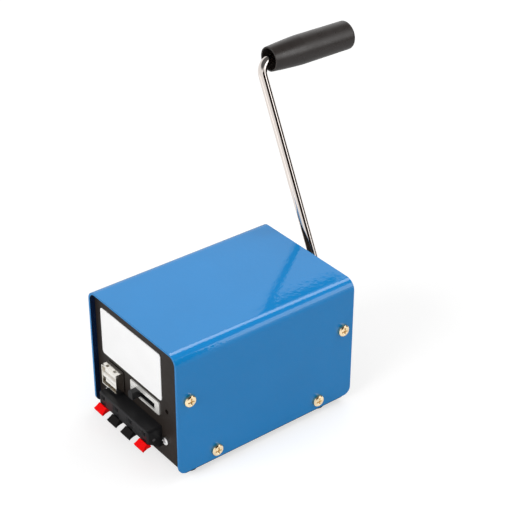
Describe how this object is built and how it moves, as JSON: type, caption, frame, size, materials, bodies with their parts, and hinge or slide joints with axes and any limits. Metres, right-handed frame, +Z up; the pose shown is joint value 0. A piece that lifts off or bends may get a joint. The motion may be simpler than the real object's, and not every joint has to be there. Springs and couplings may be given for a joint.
{
  "type": "hand crank generator",
  "caption": "Benchtop hand crank generator: steel box with front power sockets, selector and lever terminals, a geared rotor inside and a cranked arm behind.",
  "frame": {"origin": "on the plane that the four feet rest on, under the middle of the cover", "axes": "+X to the right seen from the control panel, +Y from the control panel to the crank, +Z up"},
  "size_m": [0.1289, 0.2349, 0.1998],
  "materials": {
    "cover_paint": "gloss blue powder coat",
    "chassis_paint": "black powder coat",
    "plated_screw": "yellow passivated zinc plate",
    "steel_screw": "bright zinc plate",
    "rubber": "black moulded rubber",
    "label_white": "white film on thin plate",
    "usb_metal": "bright nickel plate",
    "usb_plastic": "white moulded",
    "contact_metal": "gold flash",
    "switch_metal": "bright nickel plate",
    "switch_black": "black moulded",
    "terminal_black": "black moulded",
    "lever_red": "red moulded",
    "lever_black": "black moulded",
    "chrome": "polished chrome",
    "grip_black": "satin black moulded",
    "steel": "turned",
    "plate_zinc": "zinc plated",
    "bronze": "sintered bronze",
    "gear_steel": "oiled steel",
    "gear_brass": "cut brass",
    "can_steel": "zinc plated drawn can",
    "lamination": "stacked lamination",
    "magnet": "ferrite",
    "copper": "enamelled copper",
    "board_green": "solder mask",
    "capacitor_sleeve": "shrink sleeve",
    "component_black": "epoxy",
    "sink_aluminium": "extruded",
    "lead_red": "insulated lead"
  },
  "bodies": {
    "housing": {"top_cover": "cover_paint", "cover_screws": "plated_screw", "chassis": "chassis_paint", "rubber_feet": "rubber", "foot_screws": "steel_screw", "label_plate": "label_white", "usb_shell": "usb_metal", "usb_bracket": "plate_zinc", "usb_insulators": "usb_plastic", "usb_contacts": "contact_metal", "switch_frame": "switch_metal", "switch_body": "switch_black", "terminal_block": "terminal_black", "terminal_pin": "steel", "terminal_springs": "contact_metal", "terminal_screws": "steel_screw", "rear_bush": "bronze", "front_bush": "bronze", "rear_gear_plate": "plate_zinc", "front_gear_plate": "plate_zinc", "plate_spacers": "plate_zinc", "plate_screws": "steel_screw", "idler_pin": "steel", "rotor_bearings": "steel", "generator_can": "can_steel", "generator_end_cap": "can_steel", "generator_screws": "steel_screw", "stator_core": "lamination", "stator_coils": "copper", "generator_leads": "lead_red", "circuit_board": "board_green", "board_standoffs": "gear_brass", "board_screws": "steel_screw", "capacitors": "capacitor_sleeve", "rectifier": "component_black", "inductor": "copper", "regulator": "component_black", "heat_sink": "sink_aluminium"},
    "crank": {"crank_shaft": "steel", "crank_hub": "chrome", "hub_screws": "steel", "crank_rod": "chrome", "rod_clip": "steel", "drive_gear": "gear_steel"},
    "grip": {"crank_grip": "grip_black", "grip_cap": "grip_black"},
    "idler": {"idler_gear": "gear_brass"},
    "rotor": {"rotor_shaft": "steel", "rotor_magnet": "magnet", "rotor_pinion": "gear_brass"},
    "slider": {"switch_knob": "switch_black"},
    "lever_1": {"terminal_lever_1": "lever_red"},
    "lever_2": {"terminal_lever_2": "lever_black"},
    "lever_3": {"terminal_lever_3": "lever_black"},
    "lever_4": {"terminal_lever_4": "lever_red"}
  },
  "joints": [
    {"name": "crank_turn", "type": "hinge", "parent": "housing", "child": "crank", "pos_m": [0, 0.06, 0.0472], "axis": [0, 1, 0], "continuous": true},
    {"name": "grip_spin", "type": "hinge", "parent": "crank", "child": "grip", "pos_m": [-0.0702, 0.125, 0.18986], "axis": [0, 1, 0], "continuous": true},
    {"name": "idler_turn", "type": "hinge", "parent": "housing", "child": "idler", "pos_m": [-0.02201, 0.045, 0.06758], "axis": [0, 1, 0], "continuous": true},
    {"name": "rotor_turn", "type": "hinge", "parent": "housing", "child": "rotor", "pos_m": [-0.00602, 0.02, 0.05397], "axis": [0, 1, 0], "continuous": true},
    {"name": "selector_slide", "type": "slide", "parent": "housing", "child": "slider", "axis": [1, 0, 0], "range_m": [0, 0.0152]},
    {"name": "lever_1_press", "type": "hinge", "parent": "housing", "child": "lever_1", "pos_m": [-0.0245, -0.0695, 0.0194], "axis": [1, 0, 0], "range_deg": [0, 14], "stiffness_Nm_per_rad": 0.02, "springref_deg": -11.46},
    {"name": "lever_2_press", "type": "hinge", "parent": "housing", "child": "lever_2", "pos_m": [-0.0097, -0.0695, 0.0194], "axis": [1, 0, 0], "range_deg": [0, 14], "stiffness_Nm_per_rad": 0.02, "springref_deg": -11.46},
    {"name": "lever_3_press", "type": "hinge", "parent": "housing", "child": "lever_3", "pos_m": [0.0051, -0.0695, 0.0194], "axis": [1, 0, 0], "range_deg": [0, 14], "stiffness_Nm_per_rad": 0.02, "springref_deg": -11.46},
    {"name": "lever_4_press", "type": "hinge", "parent": "housing", "child": "lever_4", "pos_m": [0.0199, -0.0695, 0.0194], "axis": [1, 0, 0], "range_deg": [0, 14], "stiffness_Nm_per_rad": 0.02, "springref_deg": -11.46}
  ],
  "couplings": [
    {"joint": "idler_turn", "follows": "crank_turn", "ratio": -4},
    {"joint": "rotor_turn", "follows": "crank_turn", "ratio": 20}
  ]
}
